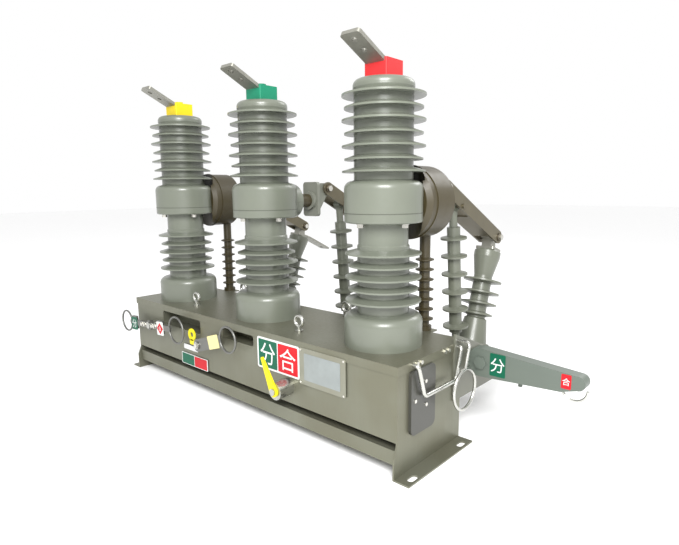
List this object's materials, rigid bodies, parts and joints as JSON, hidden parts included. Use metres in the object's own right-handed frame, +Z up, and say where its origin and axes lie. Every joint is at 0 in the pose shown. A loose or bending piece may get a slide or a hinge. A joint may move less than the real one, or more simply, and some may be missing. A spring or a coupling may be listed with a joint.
{
  "type": "outdoor vacuum circuit breaker",
  "caption": "Three-phase outdoor pole-mounted breaker on a long steel housing, with shed insulator poles, current transformers, an isolating switch and hand levers.",
  "frame": {"origin": "on the floor plane, midway between the two slots of the right-hand foot; the middle pole stands 468 mm along -X from it", "axes": "+X along the housing towards the operating arm, +Y to the rear where the isolating switch is, +Z up"},
  "size_m": [1.1828, 0.6917, 0.752],
  "materials": {
    "housing_steel": "satin olive-grey stainless sheet",
    "pole_epoxy": "glossy grey-green epoxy",
    "rod_epoxy": "glossy grey-green epoxy",
    "transformer_epoxy": "glossy dark olive-brown epoxy",
    "tinned_bar": "tinned copper, satin",
    "casting": "painted casting",
    "blade_metal": "dull brown tinned copper",
    "yellow_cover": "moulded silicone",
    "green_cover": "moulded silicone",
    "red_cover": "moulded silicone",
    "arm_paint": "satin grey-green paint",
    "frame_paint": "satin grey paint",
    "zinc_rod": "bright zinc",
    "bright_post": "turned bright steel",
    "lever_zinc": "plated steel",
    "pointer_paint": "yellow paint",
    "strip_paint": "dark grey paint"
  },
  "bodies": {
    "breaker": {"arm_bracket": "arm_paint", "blade_hinge_a": "casting", "blade_hinge_b": "casting", "blade_hinge_c": "casting", "carrying_handle_left": "zinc_rod", "carrying_handle_right": "zinc_rod", "charging_post": "bright_post", "cover_strip": "strip_paint", "current_transformer_a": "transformer_epoxy", "current_transformer_c": "transformer_epoxy", "end_plate_left": "housing_steel", "end_plate_right": "housing_steel", "front_rail": "housing_steel", "housing_box": "housing_steel", "isolator_beam": "frame_paint", "isolator_side_left": "frame_paint", "isolator_side_right": "frame_paint", "jaw_contact_a": "tinned_bar", "jaw_contact_b": "tinned_bar", "jaw_contact_c": "tinned_bar", "lifting_eye_front_left": "zinc_rod", "lifting_eye_front_right": "zinc_rod", "lifting_eye_rear_left": "zinc_rod", "lifting_eye_rear_right": "zinc_rod", "pointer_boss": "bright_post", "pole_a": "pole_epoxy", "pole_b": "pole_epoxy", "pole_c": "pole_epoxy", "pull_hook": "zinc_rod", "rear_rail": "housing_steel", "rocker_post": "bright_post", "support_insulator_a": "rod_epoxy", "support_insulator_b": "rod_epoxy", "support_insulator_c": "rod_epoxy", "terminal_bar_a": "tinned_bar", "terminal_bar_b": "tinned_bar", "terminal_bar_c": "tinned_bar", "terminal_cover_a": "yellow_cover", "terminal_cover_b": "green_cover", "terminal_cover_c": "red_cover", "top_cover": "housing_steel"},
    "operating_arm": {"operating_arm": "arm_paint"},
    "isolator_shaft": {"isolator_shaft": "frame_paint"},
    "open_close_rocker": {"open_close_rocker": "lever_zinc"},
    "charging_lever": {"charging_lever": "lever_zinc"},
    "position_pointer": {"position_pointer": "pointer_paint"},
    "pull_rod_a": {"pull_rod_a": "rod_epoxy"},
    "isolator_blade_a": {"isolator_blade_a": "blade_metal"},
    "pull_rod_b": {"pull_rod_b": "rod_epoxy"},
    "isolator_blade_b": {"isolator_blade_b": "blade_metal"},
    "pull_rod_c": {"pull_rod_c": "rod_epoxy"},
    "isolator_blade_c": {"isolator_blade_c": "blade_metal"}
  },
  "joints": [
    {"name": "arm_swing", "type": "hinge", "parent": "breaker", "child": "operating_arm", "pos_m": [0.017, 0.131, 0.162], "axis": [0, -1, 0], "range_deg": [0, 50]},
    {"name": "shaft_turn", "type": "hinge", "parent": "breaker", "child": "isolator_shaft", "pos_m": [-0.468, 0.2155, 0.15], "axis": [1, 0, 0], "range_deg": [0, 50]},
    {"name": "rocker_tilt", "type": "hinge", "parent": "breaker", "child": "open_close_rocker", "pos_m": [-0.813, -0.1185, 0.143], "axis": [0, 1, 0], "range_deg": [-12, 12], "stiffness_Nm_per_rad": 20},
    {"name": "charging_pull", "type": "hinge", "parent": "breaker", "child": "charging_lever", "pos_m": [-0.58, -0.1215, 0.134], "axis": [0, 1, 0], "range_deg": [0, 35], "stiffness_Nm_per_rad": 5, "springref_deg": -20.05},
    {"name": "pointer_turn", "type": "hinge", "parent": "breaker", "child": "position_pointer", "pos_m": [-0.293, -0.1384, 0.099], "axis": [0, 1, 0], "range_deg": [0, 54]},
    {"name": "rod_turn_a", "type": "hinge", "parent": "isolator_shaft", "child": "pull_rod_a", "pos_m": [-0.808, 0.281, 0.109], "axis": [1, 0, 0], "range_deg": [-50, 0]},
    {"name": "blade_swing_a", "type": "hinge", "parent": "breaker", "child": "isolator_blade_a", "pos_m": [-0.808, 0.185, 0.496], "axis": [1, 0, 0], "range_deg": [0, 50]},
    {"name": "rod_turn_b", "type": "hinge", "parent": "isolator_shaft", "child": "pull_rod_b", "pos_m": [-0.468, 0.281, 0.109], "axis": [1, 0, 0], "range_deg": [-50, 0]},
    {"name": "blade_swing_b", "type": "hinge", "parent": "breaker", "child": "isolator_blade_b", "pos_m": [-0.468, 0.185, 0.496], "axis": [1, 0, 0], "range_deg": [0, 50]},
    {"name": "rod_turn_c", "type": "hinge", "parent": "isolator_shaft", "child": "pull_rod_c", "pos_m": [-0.128, 0.281, 0.109], "axis": [1, 0, 0], "range_deg": [-50, 0]},
    {"name": "blade_swing_c", "type": "hinge", "parent": "breaker", "child": "isolator_blade_c", "pos_m": [-0.128, 0.185, 0.496], "axis": [1, 0, 0], "range_deg": [0, 50]}
  ],
  "couplings": [
    {"joint": "shaft_turn", "follows": "arm_swing", "ratio": 1},
    {"joint": "rod_turn_a", "follows": "arm_swing", "ratio": -1},
    {"joint": "blade_swing_a", "follows": "arm_swing", "ratio": 1},
    {"joint": "rod_turn_b", "follows": "arm_swing", "ratio": -1},
    {"joint": "blade_swing_b", "follows": "arm_swing", "ratio": 1},
    {"joint": "rod_turn_c", "follows": "arm_swing", "ratio": -1},
    {"joint": "blade_swing_c", "follows": "arm_swing", "ratio": 1}
  ]
}
